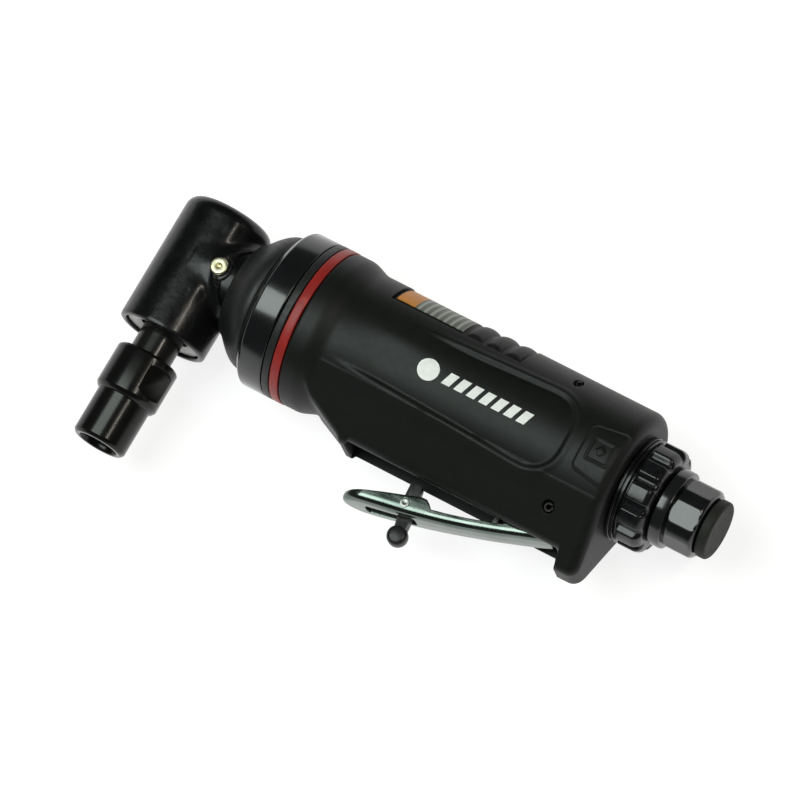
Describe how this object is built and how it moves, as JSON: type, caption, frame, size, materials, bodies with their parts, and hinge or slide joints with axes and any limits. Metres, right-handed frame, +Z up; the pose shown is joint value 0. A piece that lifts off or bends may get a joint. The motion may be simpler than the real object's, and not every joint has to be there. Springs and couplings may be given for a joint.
{
  "type": "die grinder",
  "caption": "Compact air-powered right-angle die grinder with a composite grip, side throttle lever with lock catch, rear exhaust ring and a collet.",
  "frame": {"origin": "bottom centre of the box of the tool as it lies on its side", "axes": "+X along the air motor from the angle head to the air inlet, -Y the way the collet and lever point, +Z up"},
  "size_m": [0.1726, 0.0778, 0.045],
  "materials": {
    "head_black": "gloss black paint over cast metal",
    "ring_black": "gloss black",
    "nut_black": "satin black oxide",
    "guard_black": "matt black",
    "accent_red": "satin red",
    "grip_composite": "matt black composite",
    "pad_rubber": "matt",
    "label": "printed film",
    "lever_chrome": "polished",
    "catch_black": "satin black",
    "fitting_brass": "pale bright",
    "deflector_black": "gloss black",
    "plug_plastic": "matt olive black",
    "steel": "ground",
    "bearing_steel": "polished",
    "bronze": "sintered",
    "housing_alloy": "machined",
    "vane_resin": "resin cloth",
    "seal_rubber": "matt",
    "silencer_felt": "felt"
  },
  "bodies": {
    "housing": {"angle_head": "head_black", "upper_spindle_bush": "bronze", "spindle_bearing_outer_race": "bearing_steel", "bearing_retainer": "steel", "grease_fitting": "fitting_brass", "pinion_bearing_outer_race": "bearing_steel", "pinion_bearing_circlip": "steel", "neck_guard": "guard_black", "clamp_ring": "ring_black", "spacer_ring": "guard_black", "accent_ring": "accent_red", "motor_housing": "housing_alloy", "cylinder_liner": "steel", "liner_pin": "steel", "front_end_plate": "housing_alloy", "rear_end_plate": "housing_alloy", "rotor_front_bearing_outer_race": "bearing_steel", "rotor_rear_bearing_outer_race": "bearing_steel", "preload_washer": "steel", "grip_sleeve": "grip_composite", "thumb_pad": "pad_rubber", "label_plate": "label", "housing_pin": "nut_black", "lever_pin": "nut_black", "valve_bushing": "bronze", "valve_spring": "steel", "inlet_o_ring": "seal_rubber", "inlet_bushing": "ring_black", "inlet_screen": "steel", "exhaust_silencer": "silencer_felt"},
    "rotor": {"rotor": "steel", "rotor_vane_1": "vane_resin", "rotor_vane_2": "vane_resin", "rotor_vane_3": "vane_resin", "rotor_vane_4": "vane_resin", "drive_pinion": "steel", "pinion_bearing_inner_race": "bearing_steel", "pinion_bearing_balls": "bearing_steel", "rotor_front_bearing_inner_race": "bearing_steel", "rotor_front_bearing_balls": "bearing_steel", "rotor_rear_bearing_inner_race": "bearing_steel", "rotor_rear_bearing_balls": "bearing_steel"},
    "spindle": {"spindle": "nut_black", "driven_bevel_gear": "steel", "spindle_bearing_inner_race": "bearing_steel", "spindle_bearing_balls": "bearing_steel", "collet": "steel"},
    "collet_nut": {"collet_nut": "nut_black"},
    "lever": {"throttle_lever": "lever_chrome", "lock_pin": "steel", "lock_spring": "steel"},
    "lock_catch": {"lock_catch": "catch_black"},
    "valve": {"valve_stem": "steel", "valve_seal": "seal_rubber"},
    "exhaust_deflector": {"exhaust_deflector": "deflector_black"},
    "inlet_plug": {"inlet_plug": "plug_plastic"}
  },
  "joints": [
    {"name": "rotor_spin", "type": "hinge", "parent": "housing", "child": "rotor", "pos_m": [-0.07352, 0.01645, 0.0225], "axis": [1, 0, 0], "continuous": true},
    {"name": "spindle_spin", "type": "hinge", "parent": "housing", "child": "spindle", "pos_m": [-0.07352, 0.01645, 0.0225], "axis": [0, 1, 0], "continuous": true},
    {"name": "collet_nut_turn", "type": "hinge", "parent": "spindle", "child": "collet_nut", "pos_m": [-0.07352, 0.01645, 0.0225], "axis": [0, 1, 0], "range_deg": [0, 180]},
    {"name": "lever_squeeze", "type": "hinge", "parent": "housing", "child": "lever", "pos_m": [0.04627, -0.00095, 0.0225], "axis": [0, 0, -1], "range_deg": [0, 9], "stiffness_Nm_per_rad": 0.3, "springref_deg": -8.59, "deforming": ["valve_spring"]},
    {"name": "valve_lift", "type": "slide", "parent": "housing", "child": "valve", "axis": [0, 1, 0], "range_m": [0, 0.0022]},
    {"name": "lock_swing", "type": "hinge", "parent": "lever", "child": "lock_catch", "pos_m": [0.00988, -0.01615, 0.0225], "axis": [0, 0, -1], "range_deg": [0, 50], "stiffness_Nm_per_rad": 0.001, "springref_deg": -22.92, "deforming": ["lock_spring"]},
    {"name": "deflector_turn", "type": "hinge", "parent": "housing", "child": "exhaust_deflector", "pos_m": [-0.07352, 0.01645, 0.0225], "axis": [1, 0, 0], "continuous": true},
    {"name": "plug_pull", "type": "slide", "parent": "housing", "child": "inlet_plug", "axis": [1, 0, 0], "range_m": [0, 0.012]}
  ],
  "couplings": [
    {"joint": "spindle_spin", "follows": "rotor_spin", "ratio": 0.8},
    {"joint": "valve_lift", "follows": "lever_squeeze", "m_per_rad": 0.0138}
  ]
}
